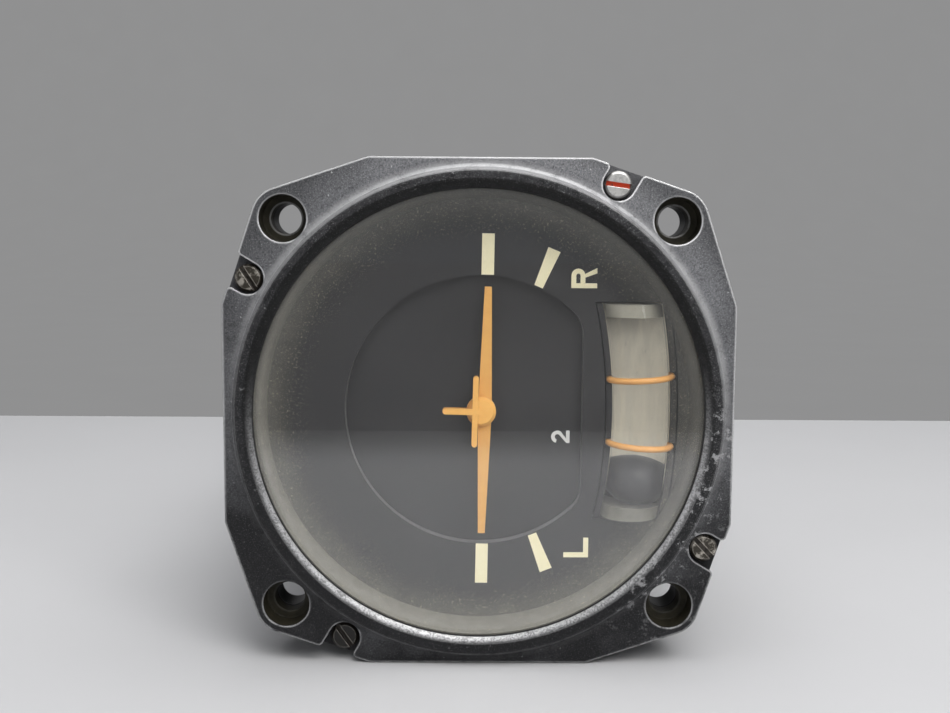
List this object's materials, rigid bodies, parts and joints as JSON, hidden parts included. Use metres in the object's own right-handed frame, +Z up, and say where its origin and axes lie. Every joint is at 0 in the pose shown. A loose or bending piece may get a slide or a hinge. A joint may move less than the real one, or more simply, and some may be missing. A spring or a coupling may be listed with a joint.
{
  "type": "rate of turn indicator",
  "caption": "Round panel instrument in a square flanged bezel: a canted gyro gimbal turns a miniature aircraft pointer over a curved ball inclinometer.",
  "frame": {"origin": "centre of the four mounting holes, on the rear face of the case flange where the panel lies", "axes": "-Y looks out of the dial to the viewer, +Y runs back along the case, +Z up and +X right as in the picture, where the instrument stands on the left side of its dial"},
  "size_m": [0.0826, 0.1468, 0.0826],
  "materials": {
    "bezel_paint": "worn matt charcoal paint on a light alloy casting",
    "case_paint": "matt black paint",
    "bright_steel": "bare machined steel",
    "black_rubber": "matt",
    "clear_glass": "polished clear",
    "beige_paint": "matt grey-beige paint",
    "dial_paint": "matt black paint",
    "cream_paint": "aged cream paint",
    "orange_paint": "faded orange paint",
    "orange_wire": "orange lacquered wire",
    "ball_black": "polished black",
    "plug_plastic": "matt cream",
    "bare_alloy": "bare machined",
    "bare_brass": "bare machined",
    "copper_wire": "enamelled copper winding",
    "magnet_dark": "ground dark magnet",
    "insert_plastic": "moulded black"
  },
  "bodies": {
    "housing": {"bezel": "bezel_paint", "bezel_screws": "bright_steel", "flange_gasket": "black_rubber", "glass_gasket": "black_rubber", "front_glass": "clear_glass", "spacer_ring": "beige_paint", "dial_plate": "dial_paint", "index_marks": "cream_paint", "sub_dial": "dial_paint", "sub_dial_screws": "bright_steel", "dial_posts": "bare_alloy", "inclinometer_tube": "clear_glass", "inclinometer_plugs": "plug_plastic", "inclinometer_backing": "cream_paint", "inclinometer_bands": "orange_wire", "inclinometer_bracket": "dial_paint", "inclinometer_screws": "bright_steel", "front_bush": "bare_brass", "rear_bush": "bare_brass", "pointer_bridge": "bare_alloy", "front_frame": "bare_alloy", "rear_frame": "bare_alloy", "frame_posts": "bright_steel", "frame_screws": "bright_steel", "case_screws": "bright_steel", "front_pivot_bracket": "bare_alloy", "rear_pivot_bracket": "bare_alloy", "bracket_screws": "bright_steel", "pivot_bearings": "bright_steel", "stop_pin": "bright_steel", "centring_spring": "bright_steel", "spring_stud": "bare_brass", "damper_cover": "bare_brass", "case": "case_paint", "rear_gasket": "black_rubber", "rear_cover": "case_paint", "rear_screws": "bright_steel", "connector_shell": "bare_alloy", "connector_gasket": "black_rubber", "connector_insert": "insert_plastic", "connector_pins": "bare_brass", "connector_screws": "bright_steel"},
    "gimbal": {"gimbal": "bare_alloy", "gimbal_pivots": "bright_steel", "sector_gear": "bare_brass", "sector_screws": "bright_steel", "spring_collet": "bare_brass", "damper_paddle": "bare_alloy", "motor_stator": "bright_steel", "stator_windings": "copper_wire", "rotor_bearings": "bright_steel"},
    "rotor": {"gyro_rotor": "bright_steel", "rotor_magnet": "magnet_dark", "rotor_shaft": "bright_steel"},
    "pointer": {"aircraft_pointer": "orange_paint", "pointer_shaft": "bright_steel", "pinion": "bare_brass"},
    "ball": {"inclinometer_ball": "ball_black"}
  },
  "joints": [
    {"name": "gimbal_precession", "type": "hinge", "parent": "housing", "child": "gimbal", "pos_m": [0, 0.052, 0], "axis": [-0.5, -0.866, 0], "range_deg": [-14, 14], "stiffness_Nm_per_rad": 0.02},
    {"name": "rotor_spin", "type": "hinge", "parent": "gimbal", "child": "rotor", "pos_m": [0, 0.052, 0], "axis": [0, 0, 1], "continuous": true},
    {"name": "pointer_roll", "type": "hinge", "parent": "housing", "child": "pointer", "pos_m": [0.001, 0, 0], "axis": [0, 1, 0], "range_deg": [-35, 35]},
    {"name": "ball_roll", "type": "hinge", "parent": "housing", "child": "ball", "pos_m": [-0.0649, -0.0051, 0], "axis": [0, -1, 0], "range_deg": [0, 14.36]}
  ],
  "couplings": [
    {"joint": "pointer_roll", "follows": "gimbal_precession", "ratio": 2.5}
  ]
}
